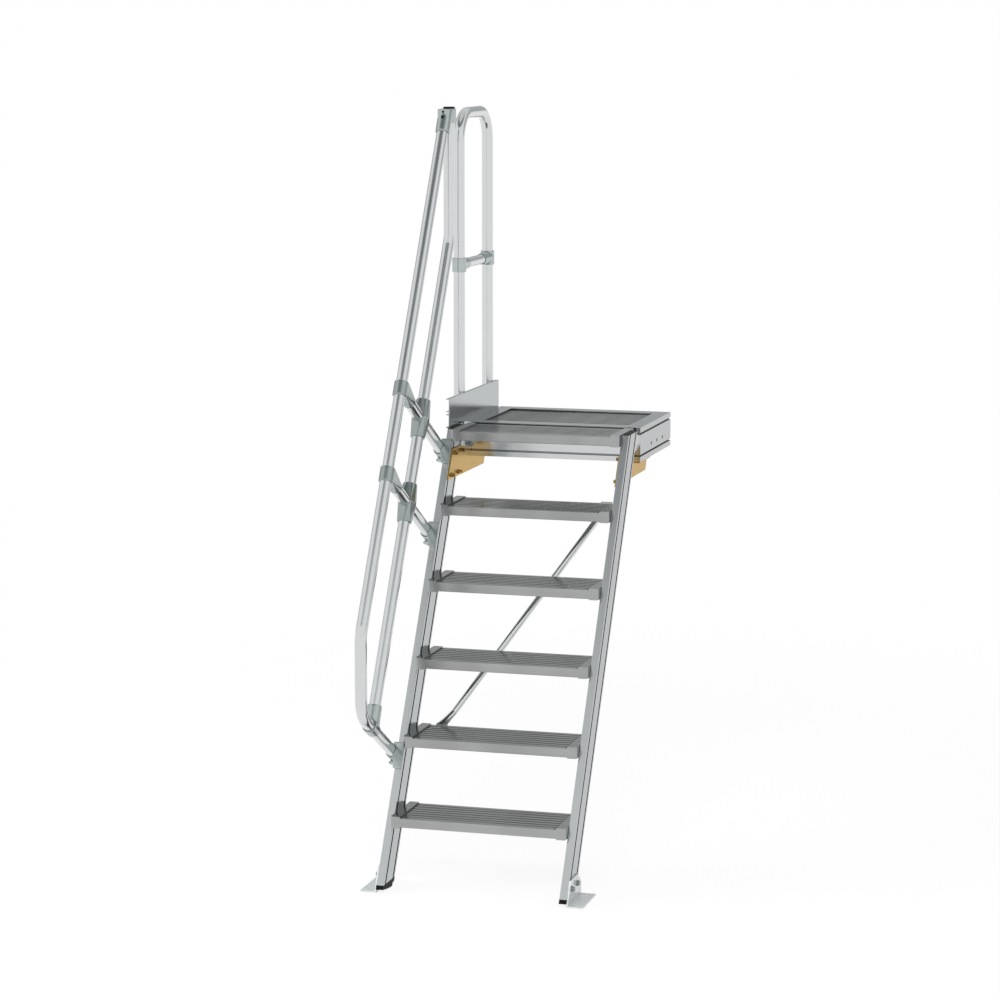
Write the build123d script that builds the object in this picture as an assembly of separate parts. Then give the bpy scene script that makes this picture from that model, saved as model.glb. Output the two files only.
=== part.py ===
from build123d import *
from math import cos, radians, sin, tan
import os

# Aluminium platform stair with one handrail, fixed to a wall or machine behind it and to the floor.
# Millimetres. +X is to the right of a person going up, +Y is up the stair, +Z is up.
# The origin is the middle of the platform's rear face, where the stair is held.

# Stair
STEPS = 6
RISE = 240.0
SLOPE = 60.0
CLEAR_WIDTH = 598.0

# Stiles: slotted hollow extrusions
STILE_THICKNESS = 25.0
STILE_DEPTH = 105.0
STILE_WALL = 3.0
STILE_CORNER = 2.0
STILE_SLOT_INSET = 17.0
STILE_SLOT_WIDTH = 10.0
SLOT_DEPTH = 5.0
NOSE_OVERHANG = 47.0
FOOT_HEIGHT = 25.0
FOOT_TOE = 12.0
FOOT_RIM = 14.0
FOOT_BALL_HEIGHT = 4.0
FOOT_BALL = 55.0
FOOT_SOLE = 95.0
FOOT_HEEL = 108.0
CAP_HEIGHT = 3.0

# Treads: ribbed extrusions with a raised cap at each end
TREAD_DEPTH = 214.0
TREAD_HEIGHT = 39.0
TREAD_WALL = 3.0
TREAD_NOSE_RADIUS = 2.5
TREAD_LIP = 22.0
TREAD_REAR_HEIGHT = 25.0
TREAD_RIBS = 6
TREAD_RIB_WIDTH = 16.0
TREAD_RIB_HEIGHT = 1.5
TREAD_CAP_WIDTH = 32.0
TREAD_CAP_RISE = 4.0
TREAD_CAP_DROP = 3.0
TREAD_CAP_CORNER = 7.0
TREAD_GAP = 20.0

# Platform: four mitred beams around a recessed deck panel
PLATFORM_OVERHANG = 19.0
PLATFORM_DEPTH = 466.0
BEAM_HEIGHT = 120.0
BEAM_WIDTH = 54.0
BEAM_WALL = 4.0
BEAM_SLOT_INSET = 21.5
BEAM_SLOT_WIDTH = 7.0
LEDGE_WIDTH = 14.0
LEDGE_THICKNESS = 4.0
DECK_RECESS = 5.0
DECK_THICKNESS = 6.0
DECK_RIB_HEIGHT = 1.5
DECK_RIB_WIDTH = 14.0
DECK_RIBS = 12
DECK_FIT = 0.3
SIDE_HOLE_RADIUS = 6.5
SIDE_HOLE_PITCH = 85.0
SIDE_HOLE_REAR = 129.0
SIDE_HOLE_Z = -14.0
SIDE_HOLES = 3

# Gold plates between stiles and platform
GUSSET_THICKNESS = 4.0
GUSSET_BELOW = 49.0
GUSSET_ABOVE = 53.0
GUSSET_STEP = 27.0
GUSSET_SHOULDER = 114.0
GUSSET_REACH = 158.0
GUSSET_INSET = 6.0
GUSSET_FLANGE = 21.0

# Toe board
TOE_HEIGHT = 101.0
TOE_LENGTH = 616.0
TOE_WALL = 3.0
TOE_FIN = 10.0
TOE_SLOT = 8.0
TOE_LIFT = 0.5
TOE_REAR = 40.0
TOE_INSET = 2.0

# Rails
TUBE_RADIUS = 20.0
TUBE_WALL = 2.5
TUBE_FIT = 0.2
RAIL_GAP = 5.0
HANDRAIL_OFFSET = 484.0
KNEE_OFFSET = 231.0
RAIL_BEND = 100.0
LOWER_BEND_AHEAD = 147.0
UPRIGHT_BEHIND_NOSE = 155.0
UPRIGHT_DROP = 58.0
HANDRAIL_END_GAP = 70.0
JOINT_REACH = 80.0
LOWER_STATION = 497.0
MIDDLE_STATION = 1289.0
UPPER_STATION = 1597.0

# Guard loop beside the platform
GUARD_HEIGHT = 1096.0
GUARD_SPACING = 355.0
GUARD_REAR = 72.0
GUARD_BEND = 100.0
GUARD_KNEE_HEIGHT = 549.0
GUARD_BAR_RADIUS = 17.5
GUARD_NECK = 84.0
SADDLE_HEIGHT = 60.0
SADDLE_WIDTH = 44.0

# Cast connectors
CAST_WALL = 4.8
NECK_WALL = 2.4
COLLAR_LENGTH = 50.0
CROSS_LENGTH = 138.0
CROSS_BELLY = 31.0
CROSS_SOCKET = 32.0
KNEE_FOOT_LENGTH = 75.0
TEE_NECK = 110.0
BRACKET_PLATE = 6.0
BRACKET_UPPER = 24.0
BRACKET_LOWER = 67.0
BRACKET_WING = 14.0
BRACKET_MOUTH = 28.0
BRACKET_DEPTH = 85.0
PLUG_HEIGHT = 6.0

# Diagonal brace behind the treads
BRACE_RADIUS = 11.0
BRACE_WALL = 2.5
BRACE_OFFSET = 25.0
BRACE_LOWER_INSET = 70.0
BRACE_UPPER_INSET = 61.0
BRACE_CRIMP = 60.0
BRACE_FROM = 2
BRACE_TO = 5
TAB_THICKNESS = 5.0
TAB_WIDTH = 40.0

# Floor angles
ANGLE_LENGTH = 175.0
ANGLE_HEIGHT = 80.0
ANGLE_WIDTH = 55.0
ANGLE_WALL = 5.0
ANGLE_START = 7.0
ANGLE_SLANT = 40.0
ANGLE_CHAMFER = 37.0
ANCHOR_RADIUS = 5.5
ANCHOR_INSET = 26.0

# Places worked out from the driving dimensions
RUN = RISE / tan(radians(SLOPE))
PLATFORM_WIDTH = CLEAR_WIDTH + 2 * PLATFORM_OVERHANG
DECK_Z = BEAM_HEIGHT / 2
FLOOR_Z = DECK_Z - STEPS * RISE
PLATFORM_FRONT = -PLATFORM_DEPTH
TOP_NOSE_Y = PLATFORM_FRONT - TREAD_GAP - TREAD_DEPTH
FIRST_NOSE_Y = TOP_NOSE_Y - (STEPS - 1) * RUN
STILE_INNER_X = CLEAR_WIDTH / 2
STILE_OUTER_X = STILE_INNER_X + STILE_THICKNESS
STILE_LENGTH = STEPS * RISE / sin(radians(SLOPE))
STILE_FOOT_Y = TOP_NOSE_Y + NOSE_OVERHANG - STEPS * RUN
RAIL_X = -(STILE_OUTER_X + RAIL_GAP + TUBE_RADIUS)
CAST_RADIUS = TUBE_RADIUS + CAST_WALL
BORE_RADIUS = TUBE_RADIUS + TUBE_FIT
TOE_FACE_X = -(PLATFORM_WIDTH / 2 - TOE_INSET)
TOE_OUTER_X = TOE_FACE_X - TOE_WALL - TOE_FIN
GUARD_X = TOE_OUTER_X - TUBE_RADIUS
GUARD_REAR_Y = -GUARD_REAR
GUARD_FRONT_Y = GUARD_REAR_Y - GUARD_SPACING
UPRIGHT_Y = TOP_NOSE_Y + UPRIGHT_BEHIND_NOSE
HANDRAIL_FOOT_Y = STILE_FOOT_Y - HANDRAIL_OFFSET / sin(radians(SLOPE))
UPRIGHT_TOP = FLOOR_Z + (UPRIGHT_Y - HANDRAIL_FOOT_Y) * tan(radians(SLOPE)) - UPRIGHT_DROP
LOWER_BEND_Y = FIRST_NOSE_Y - LOWER_BEND_AHEAD
UP = Vector(0, cos(radians(SLOPE)), sin(radians(SLOPE)))
OUT = Vector(0, -sin(radians(SLOPE)), cos(radians(SLOPE)))
SIDES = {"left": -1, "right": 1}


def on_slope(x, along, out):
    """Point on the stair's slope: along the stile from the floor, out from the stile's front face."""
    return Vector(x, STILE_FOOT_Y, FLOOR_Z) + UP * along + OUT * out


def stile_front(z):
    """Place of the stile's front face at a given height."""
    return STILE_FOOT_Y + (z - FLOOR_Z) / tan(radians(SLOPE))


def tread_place(number):
    """Nose edge of a tread, counted from the floor."""
    steps_down = STEPS - number
    return TOP_NOSE_Y - steps_down * RUN, DECK_Z - steps_down * RISE


def block(x, y, z):
    """Box between two values on each axis."""
    size = (x[1] - x[0], y[1] - y[0], z[1] - z[0])
    middle = ((x[0] + x[1]) / 2, (y[0] + y[1]) / 2, (z[0] + z[1]) / 2)
    return Pos(*middle) * Box(*size)


def rod(start, end, radius):
    """Round bar between two points."""
    way = end - start
    return extrude(Plane(origin=start, z_dir=way) * Circle(radius), amount=way.length)


def taper(start, end, radius, end_radius):
    """Round taper between two points."""
    way = end - start
    cone = Cone(radius, end_radius, way.length, align=(Align.CENTER, Align.CENTER, Align.MIN))
    return Plane(origin=start, z_dir=way) * cone


def tube(points, bend=None, radius=TUBE_RADIUS):
    """Hollow round tube along straight runs, bent at the inner points."""
    path = Polyline(*points) if bend is None else FilletPolyline(*points, radius=bend)
    start = Plane(origin=points[0], z_dir=points[1] - points[0])
    ring = Circle(radius) - Circle(radius - TUBE_WALL)
    return sweep(start * ring, path=path)


def side_plate(points, x_from, x_to):
    """Flat plate in a plane across X, with its outline given as (y, z) points."""
    outline = make_face(Polyline(*[(x_from, y, z) for y, z in points], close=True))
    return extrude(outline, amount=x_to - x_from, dir=(1, 0, 0))


# Stiles
def stile_outline():
    """Stile section across the slope, front face on the local X axis, rear towards local +Y."""
    return Pos(0, STILE_DEPTH / 2) * RectangleRounded(STILE_THICKNESS, STILE_DEPTH, STILE_CORNER)


def stile_section():
    section = stile_outline()
    hollow_depth = STILE_DEPTH - 2 * (STILE_SLOT_INSET + STILE_SLOT_WIDTH / 2 + STILE_WALL)
    section -= Pos(0, STILE_DEPTH / 2) * Rectangle(STILE_THICKNESS - 2 * STILE_WALL, hollow_depth)
    for depth in (STILE_SLOT_INSET, STILE_DEPTH - STILE_SLOT_INSET):
        for side in SIDES.values():
            slot_middle = side * (STILE_THICKNESS - SLOT_DEPTH) / 2
            section -= Pos(slot_middle, depth) * Rectangle(SLOT_DEPTH, STILE_SLOT_WIDTH)
    return section


def along_slope(section, x, z_from, z_to):
    """Section run up the slope and cut level at two heights."""
    place = Plane(origin=on_slope(x, -STILE_DEPTH, 0), x_dir=(1, 0, 0), z_dir=UP)
    bar = extrude(place * section, amount=STILE_LENGTH + 2 * STILE_DEPTH)
    reach = STILE_LENGTH + STILE_DEPTH
    keep = block((x - STILE_DEPTH, x + STILE_DEPTH), (-2 * reach, reach), (z_from, z_to))
    return bar & keep


def stile(side):
    x = side * (STILE_INNER_X + STILE_THICKNESS / 2)
    return along_slope(stile_section(), x, FLOOR_Z + FOOT_HEIGHT, DECK_Z - CAP_HEIGHT)


def foot_cap(side):
    """Rocker-shaped foot under the stile's level cut, with a rim that covers the whole cut."""
    top = FLOOR_Z + FOOT_HEIGHT
    toe = FLOOR_Z + FOOT_TOE
    rim = top - FOOT_RIM
    front = stile_front(FLOOR_Z)
    level_depth = STILE_DEPTH / sin(radians(SLOPE))
    outline = [
        (stile_front(top), top),
        (stile_front(toe), toe),
        (front + FOOT_BALL, FLOOR_Z + FOOT_BALL_HEIGHT),
        (front + FOOT_SOLE, FLOOR_Z),
        (front + FOOT_HEEL, FLOOR_Z),
        (front + FOOT_HEEL + FOOT_TOE / 2, rim),
        (stile_front(rim) + level_depth, rim),
        (stile_front(top) + level_depth, top),
    ]
    return side_plate(outline, *sorted((side * STILE_INNER_X, side * STILE_OUTER_X)))


def top_cap(side):
    x = side * (STILE_INNER_X + STILE_THICKNESS / 2)
    return along_slope(stile_outline(), x, DECK_Z - CAP_HEIGHT, DECK_Z)


# Treads
def tread_section():
    """Channel section with ribs on top, the caps' nose edge at the local origin, rear towards local +X."""
    top = -TREAD_CAP_RISE
    plate = top - TREAD_RIB_HEIGHT - TREAD_WALL / 2
    section = Pos(TREAD_DEPTH / 2, plate) * Rectangle(TREAD_DEPTH, TREAD_WALL)
    rib_middle = top - TREAD_RIB_HEIGHT / 2
    edges = (
        (TREAD_WALL / 2, TREAD_LIP / 2, TREAD_CAP_DROP - TREAD_HEIGHT),
        (TREAD_DEPTH - TREAD_WALL / 2, TREAD_DEPTH - TREAD_LIP / 2, TREAD_CAP_DROP - TREAD_REAR_HEIGHT),
    )
    for skirt, lip, foot in edges:
        section += Pos(skirt, (top + foot) / 2) * Rectangle(TREAD_WALL, top - foot)
        section += Pos(lip, rib_middle) * Rectangle(TREAD_LIP, TREAD_RIB_HEIGHT)
        section += Pos(lip, foot + TREAD_WALL / 2) * Rectangle(TREAD_LIP, TREAD_WALL)
    pitch = (TREAD_DEPTH - 2 * TREAD_LIP) / TREAD_RIBS
    for rib in range(TREAD_RIBS):
        depth = TREAD_LIP + pitch / 2 + rib * pitch
        section += Pos(depth, rib_middle) * Rectangle(TREAD_RIB_WIDTH, TREAD_RIB_HEIGHT)
    nose = section.vertices().group_by(Axis.X)[0]
    return fillet(nose, TREAD_NOSE_RADIUS)


def tread_cap(side):
    """Cap on a tread's end: raised above the ribs, its front corner cut off, open below."""
    outer = side * STILE_INNER_X
    inner = outer - side * TREAD_CAP_WIDTH
    plan = [
        (inner, 0),
        (outer - side * TREAD_CAP_CORNER, 0),
        (outer, TREAD_CAP_CORNER),
        (outer, TREAD_DEPTH),
        (inner, TREAD_DEPTH),
    ]
    profile = [
        (0, 0),
        (0, -TREAD_HEIGHT),
        (TREAD_DEPTH / 2, -TREAD_HEIGHT),
        (TREAD_DEPTH, -TREAD_REAR_HEIGHT),
        (TREAD_DEPTH, 0),
    ]
    cap = extrude(make_face(Polyline(*plan, close=True)), amount=TREAD_HEIGHT, dir=(0, 0, -1))
    cap &= side_plate(profile, *sorted((inner, outer)))
    hollow_width = sorted((inner, outer - side * TREAD_WALL))
    hollow_depth = (TREAD_CAP_CORNER, TREAD_DEPTH - TREAD_WALL)
    hollow_top = -TREAD_CAP_RISE - TREAD_RIB_HEIGHT - TREAD_WALL
    return cap - block(hollow_width, hollow_depth, (-TREAD_HEIGHT, hollow_top))


def tread():
    """One tread with the middle of its nose edge at the origin."""
    reach = STILE_INNER_X - TREAD_CAP_CORNER
    place = Plane(origin=(-reach, 0, 0), x_dir=(0, 1, 0), z_dir=(1, 0, 0))
    step = extrude(place * tread_section(), amount=2 * reach)
    for side in SIDES.values():
        step += tread_cap(side)
    return step


# Platform
def beam_section():
    """Hollow beam, outer face on the local Y axis, with two outer slots and an inner ledge."""
    section = Pos(BEAM_WIDTH / 2, 0) * Rectangle(BEAM_WIDTH, BEAM_HEIGHT)
    inner_left = SLOT_DEPTH + BEAM_WALL
    inner_right = BEAM_WIDTH - BEAM_WALL
    hollow = Rectangle(inner_right - inner_left, BEAM_HEIGHT - 2 * BEAM_WALL)
    section -= Pos((inner_left + inner_right) / 2, 0) * hollow
    for height in (BEAM_HEIGHT / 2 - BEAM_SLOT_INSET, BEAM_SLOT_INSET - BEAM_HEIGHT / 2):
        section -= Pos(SLOT_DEPTH / 2, height) * Rectangle(SLOT_DEPTH, BEAM_SLOT_WIDTH)
    ledge_top = BEAM_HEIGHT / 2 - DECK_RECESS - DECK_RIB_HEIGHT - DECK_THICKNESS
    ledge_middle = (BEAM_WIDTH + LEDGE_WIDTH / 2, ledge_top - LEDGE_THICKNESS / 2)
    section += Pos(*ledge_middle) * Rectangle(LEDGE_WIDTH, LEDGE_THICKNESS)
    return section


def beam(length, place):
    """Beam with mitred ends, along local X from its outer corner, with its inside towards local +Y."""
    reach = BEAM_WIDTH + LEDGE_WIDTH
    section_plane = Plane(origin=(0, 0, 0), x_dir=(0, 1, 0), z_dir=(1, 0, 0))
    bar = extrude(section_plane * beam_section(), amount=length)
    plan = make_face(Polyline((0, 0), (length, 0), (length - reach, reach), (reach, reach), close=True))
    mitre = extrude(Pos(0, 0, -BEAM_HEIGHT / 2) * plan, amount=BEAM_HEIGHT)
    return place * (bar & mitre)


def front_beam():
    return beam(PLATFORM_WIDTH, Pos(-PLATFORM_WIDTH / 2, PLATFORM_FRONT, 0))


def rear_beam():
    return beam(PLATFORM_WIDTH, Pos(PLATFORM_WIDTH / 2, 0, 0) * Rot(0, 0, 180))


def left_beam():
    return beam(PLATFORM_DEPTH, Pos(-PLATFORM_WIDTH / 2, 0, 0) * Rot(0, 0, -90))


def right_beam():
    side = beam(PLATFORM_DEPTH, Pos(PLATFORM_WIDTH / 2, PLATFORM_FRONT, 0) * Rot(0, 0, 90))
    outer = PLATFORM_WIDTH / 2
    inner = outer - SLOT_DEPTH - BEAM_WALL
    for hole in range(SIDE_HOLES):
        y = -SIDE_HOLE_REAR - hole * SIDE_HOLE_PITCH
        side -= rod(Vector(inner, y, SIDE_HOLE_Z), Vector(outer, y, SIDE_HOLE_Z), SIDE_HOLE_RADIUS)
    return side


def deck_panel():
    """Ribbed panel that lies on the beams' ledges."""
    half = PLATFORM_WIDTH / 2 - BEAM_WIDTH - DECK_FIT
    front = PLATFORM_FRONT + BEAM_WIDTH + DECK_FIT
    rear = -BEAM_WIDTH - DECK_FIT
    top = DECK_Z - DECK_RECESS
    rib_foot = top - DECK_RIB_HEIGHT
    panel = block((-half, half), (front, rear), (rib_foot - DECK_THICKNESS, rib_foot))
    pitch = (rear - front) / DECK_RIBS
    for rib in range(DECK_RIBS):
        middle = front + pitch / 2 + rib * pitch
        across = (middle - DECK_RIB_WIDTH / 2, middle + DECK_RIB_WIDTH / 2)
        panel += block((-half, half), across, (rib_foot, top))
    return panel


def gusset(side):
    """Gold plate on the stile's inner face, stepped around the front beam, with a flange under it."""
    beam_foot = -BEAM_HEIGHT / 2
    foot = beam_foot - GUSSET_BELOW
    head = beam_foot + GUSSET_ABOVE
    inset = GUSSET_INSET / sin(radians(SLOPE))
    rear = PLATFORM_FRONT + GUSSET_REACH
    outline = [
        (stile_front(foot) + inset, foot),
        (rear, foot),
        (rear + GUSSET_BELOW / tan(radians(SLOPE)), beam_foot),
        (PLATFORM_FRONT, beam_foot),
        (PLATFORM_FRONT, beam_foot + GUSSET_STEP),
        (PLATFORM_FRONT - GUSSET_SHOULDER, head),
        (stile_front(head) + inset, head),
    ]
    inner = side * (STILE_INNER_X - GUSSET_THICKNESS)
    plate = side_plate(outline, *sorted((inner, side * STILE_INNER_X)))
    flange = sorted((inner, inner + side * GUSSET_FLANGE))
    return plate + block(flange, (PLATFORM_FRONT, rear), (beam_foot - GUSSET_THICKNESS, beam_foot))


# Toe board and guard loop
def toe_board():
    foot = DECK_Z + TOE_LIFT
    ends = (-TOE_REAR - TOE_LENGTH, -TOE_REAR)
    board = block((TOE_FACE_X - TOE_WALL, TOE_FACE_X), ends, (foot, foot + TOE_HEIGHT))
    middle = foot + TOE_HEIGHT / 2
    fins = (
        foot,
        middle - TOE_SLOT / 2 - TOE_WALL,
        middle + TOE_SLOT / 2,
        foot + TOE_HEIGHT - TOE_WALL,
    )
    for fin in fins:
        board += block((TOE_OUTER_X, TOE_FACE_X), ends, (fin, fin + TOE_WALL))
    return board


def guard_loop():
    foot = -BEAM_HEIGHT / 2
    top = DECK_Z + GUARD_HEIGHT - TUBE_RADIUS
    points = [
        Vector(GUARD_X, GUARD_FRONT_Y, foot),
        Vector(GUARD_X, GUARD_FRONT_Y, top),
        Vector(GUARD_X, GUARD_REAR_Y, top),
        Vector(GUARD_X, GUARD_REAR_Y, foot),
    ]
    return tube(points, GUARD_BEND)


def guard_saddle(y):
    """Block that carries a guard post on the left beam, hollowed to the tube."""
    face = -PLATFORM_WIDTH / 2
    width = (y - SADDLE_WIDTH / 2, y + SADDLE_WIDTH / 2)
    height = (-SADDLE_HEIGHT / 2, SADDLE_HEIGHT / 2)
    saddle = block((GUARD_X, face), width, height)
    return saddle - rod(Vector(GUARD_X, y, height[0]), Vector(GUARD_X, y, height[1]), BORE_RADIUS)


def guard_knee_bar():
    z = DECK_Z + GUARD_KNEE_HEIGHT
    clear = TUBE_RADIUS + TUBE_FIT
    start = Vector(GUARD_X, GUARD_FRONT_Y + clear, z)
    return tube([start, Vector(GUARD_X, GUARD_REAR_Y - clear, z)], radius=GUARD_BAR_RADIUS)


def guard_clamp(y, way):
    """Cast tee: a collar on a guard post and a neck that holds the knee bar's end."""
    middle = Vector(GUARD_X, y, DECK_Z + GUARD_KNEE_HEIGHT)
    rise = Vector(0, 0, COLLAR_LENGTH / 2)
    inward = Vector(0, way, 0)
    neck = middle + inward * GUARD_NECK
    clamp = rod(middle - rise, middle + rise, CAST_RADIUS)
    clamp += taper(middle, neck, CAST_RADIUS, GUARD_BAR_RADIUS + NECK_WALL)
    clamp -= rod(middle - rise, middle + rise, BORE_RADIUS)
    return clamp - rod(middle, neck, GUARD_BAR_RADIUS + TUBE_FIT)


# Handrail, knee rail and spindles
def rail_on_slope(y, offset):
    """Point of a rail's axis at a given y."""
    foot = on_slope(RAIL_X, 0, offset)
    return Vector(RAIL_X, y, foot.Z + (y - foot.Y) * tan(radians(SLOPE)))


def lower_corner():
    """Where the handrail's upright stretch meets its lower leg."""
    foot = on_slope(RAIL_X, LOWER_STATION, 0)
    return foot + OUT * ((foot.Y - LOWER_BEND_Y) / sin(radians(SLOPE)))


def handrail_end():
    return rail_on_slope(UPRIGHT_Y - HANDRAIL_END_GAP, HANDRAIL_OFFSET)


def handrail():
    points = [
        on_slope(RAIL_X, LOWER_STATION, -BRACKET_DEPTH),
        lower_corner(),
        rail_on_slope(LOWER_BEND_Y, HANDRAIL_OFFSET),
        handrail_end(),
    ]
    return tube(points, RAIL_BEND)


def knee_rail():
    clear = TUBE_RADIUS + TUBE_FIT
    points = [
        on_slope(RAIL_X, LOWER_STATION + clear, KNEE_OFFSET),
        rail_on_slope(UPRIGHT_Y, KNEE_OFFSET),
        Vector(RAIL_X, UPRIGHT_Y, UPRIGHT_TOP),
    ]
    return tube(points, RAIL_BEND)


def outer_spindle(station):
    clear = TUBE_RADIUS + TUBE_FIT
    start = on_slope(RAIL_X, station, KNEE_OFFSET + clear)
    return tube([start, on_slope(RAIL_X, station, HANDRAIL_OFFSET - clear)])


def inner_spindle(station):
    start = on_slope(RAIL_X, station, -BRACKET_DEPTH)
    return tube([start, on_slope(RAIL_X, station, KNEE_OFFSET - TUBE_RADIUS - TUBE_FIT)])


def handrail_tee(station):
    """Cast tee: a collar on the handrail and a tapered neck for the spindle."""
    middle = on_slope(RAIL_X, station, HANDRAIL_OFFSET)
    half = UP * (COLLAR_LENGTH / 2)
    neck = middle - OUT * TEE_NECK
    tee = rod(middle - half, middle + half, CAST_RADIUS)
    tee += taper(middle, neck, CAST_RADIUS, TUBE_RADIUS + NECK_WALL)
    tee -= rod(middle - half, middle + half, BORE_RADIUS)
    return tee - rod(middle, neck, BORE_RADIUS)


def knee_cross(station):
    """Cast cross: a long bellied sleeve on the knee rail with a socket for the spindle on either side."""
    middle = on_slope(RAIL_X, station, KNEE_OFFSET)
    half = UP * (CROSS_LENGTH / 2)
    socket = OUT * CROSS_SOCKET
    cross = taper(middle, middle + half, CROSS_BELLY, CAST_RADIUS)
    cross += taper(middle, middle - half, CROSS_BELLY, CAST_RADIUS)
    cross += rod(middle - socket, middle + socket, TUBE_RADIUS + NECK_WALL)
    cross -= rod(middle - half, middle + half, BORE_RADIUS)
    return cross - rod(middle - socket, middle + socket, BORE_RADIUS)


def knee_foot():
    """Cast tee that seats the knee rail's lower end on the handrail's lower leg."""
    middle = on_slope(RAIL_X, LOWER_STATION, KNEE_OFFSET)
    half = OUT * (COLLAR_LENGTH / 2)
    sleeve = middle + UP * KNEE_FOOT_LENGTH
    foot = rod(middle - half, middle + half, CAST_RADIUS)
    foot += rod(middle, sleeve, CAST_RADIUS)
    foot -= rod(middle - half, middle + half, BORE_RADIUS)
    return foot - rod(middle, sleeve, BORE_RADIUS)


def top_joint():
    """Cast joint, cut level on top, that holds the handrail's end beside the knee rail's upright."""
    head = Vector(RAIL_X, UPRIGHT_Y, UPRIGHT_TOP)
    foot = head - Vector(0, 0, COLLAR_LENGTH)
    end = handrail_end()
    mouth = rail_on_slope(UPRIGHT_Y - JOINT_REACH, HANDRAIL_OFFSET)
    spare = 2 * COLLAR_LENGTH
    joint = rod(mouth, end + UP * spare, CAST_RADIUS)
    joint += block((RAIL_X - TUBE_RADIUS, RAIL_X + TUBE_RADIUS), (end.Y, UPRIGHT_Y), (foot.Z, head.Z))
    joint -= block((RAIL_X - spare, RAIL_X + spare), (mouth.Y, UPRIGHT_Y + spare), (head.Z, head.Z + spare))
    joint += rod(foot, head, CAST_RADIUS)
    joint -= rod(foot, head, BORE_RADIUS)
    return joint - rod(mouth, end, BORE_RADIUS)


def top_plug():
    head = Vector(RAIL_X, UPRIGHT_Y, UPRIGHT_TOP)
    return rod(head, head + Vector(0, 0, PLUG_HEIGHT), TUBE_RADIUS)


def stile_bracket(station):
    """Cast bracket around the stile's outer front corner, with a socket beside it for a rail's end."""
    flange_plane = Plane(origin=on_slope(0, station, 0), x_dir=(1, 0, 0), z_dir=OUT)
    side_plane = Plane(origin=on_slope(-STILE_OUTER_X, station, 0), x_dir=OUT, z_dir=(-1, 0, 0))
    wing = -STILE_OUTER_X - BRACKET_WING
    outline = [
        (-STILE_INNER_X, BRACKET_UPPER),
        (wing, BRACKET_UPPER),
        (wing, -BRACKET_UPPER),
        (-STILE_OUTER_X, -BRACKET_LOWER),
        (-STILE_INNER_X, -BRACKET_LOWER),
    ]
    bracket = extrude(flange_plane * make_face(Polyline(*outline, close=True)), amount=BRACKET_PLATE)
    cheek = [
        (BRACKET_PLATE, -BRACKET_LOWER),
        (BRACKET_PLATE, BRACKET_UPPER),
        (-BRACKET_DEPTH, BRACKET_UPPER),
        (-BRACKET_DEPTH, -BRACKET_UPPER),
    ]
    bracket += extrude(side_plane * make_face(Polyline(*cheek, close=True)), amount=BRACKET_PLATE)
    rear = on_slope(RAIL_X, station, -BRACKET_DEPTH)
    bracket += rod(rear, on_slope(RAIL_X, station, -BRACKET_MOUTH), CAST_RADIUS)
    return bracket - rod(rear, on_slope(RAIL_X, station, BRACKET_PLATE), BORE_RADIUS)


# Brace and floor angles
def brace():
    """Tube across the back of the treads, flattened at either end into a tab on a tread's rear flange."""
    places = {
        BRACE_FROM: BRACE_LOWER_INSET - STILE_INNER_X,
        BRACE_TO: STILE_INNER_X - BRACE_UPPER_INSET,
    }
    seats = []
    for number, x in places.items():
        nose_y, top_z = tread_place(number)
        seats.append(Vector(x, nose_y + TREAD_DEPTH, top_z - TREAD_REAR_HEIGHT / 2))
    way = (seats[1] - seats[0]).normalized()
    stand_off = Vector(0, BRACE_OFFSET, 0)
    ends = [seats[0] + stand_off + way * BRACE_CRIMP, seats[1] + stand_off - way * BRACE_CRIMP]
    bar = rod(*ends, BRACE_RADIUS) - rod(*ends, BRACE_RADIUS - BRACE_WALL)
    half_height = TREAD_REAR_HEIGHT / 2
    for seat, end, rise in ((seats[0], ends[0], 1), (seats[1], ends[1], -1)):
        edge = seat + Vector(0, TAB_THICKNESS / 2, rise * half_height)
        flat = Plane(origin=edge, x_dir=(1, 0, 0), z_dir=(0, 0, rise)) * Rectangle(TAB_WIDTH, TAB_THICKNESS)
        round_end = Plane(origin=end, x_dir=(1, 0, 0), z_dir=way * rise) * Circle(BRACE_RADIUS)
        bar += loft([flat, round_end])
        across = (seat.X - TAB_WIDTH / 2, seat.X + TAB_WIDTH / 2)
        height = (seat.Z - half_height, seat.Z + half_height)
        bar += block(across, (seat.Y, seat.Y + TAB_THICKNESS), height)
    return bar


def floor_angle(side):
    """Angle on the stile's outer face, with two anchor holes in its floor leg."""
    inner = side * STILE_OUTER_X
    front = STILE_FOOT_Y + ANGLE_START
    rear = front + ANGLE_LENGTH
    outline = [
        (front, FLOOR_Z),
        (rear, FLOOR_Z),
        (rear, FLOOR_Z + ANGLE_HEIGHT - ANGLE_CHAMFER),
        (rear - ANGLE_CHAMFER, FLOOR_Z + ANGLE_HEIGHT),
        (front + ANGLE_SLANT, FLOOR_Z + ANGLE_HEIGHT),
    ]
    angle = side_plate(outline, *sorted((inner, inner + side * ANGLE_WALL)))
    leg = sorted((inner, inner + side * ANGLE_WIDTH))
    angle += block(leg, (front, rear), (FLOOR_Z, FLOOR_Z + ANGLE_WALL))
    x = inner + side * (ANGLE_WIDTH + ANGLE_WALL) / 2
    for y in (front + ANCHOR_INSET, rear - ANCHOR_INSET):
        angle -= rod(Vector(x, y, FLOOR_Z), Vector(x, y, FLOOR_Z + ANGLE_WALL), ANCHOR_RADIUS)
    return angle


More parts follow.
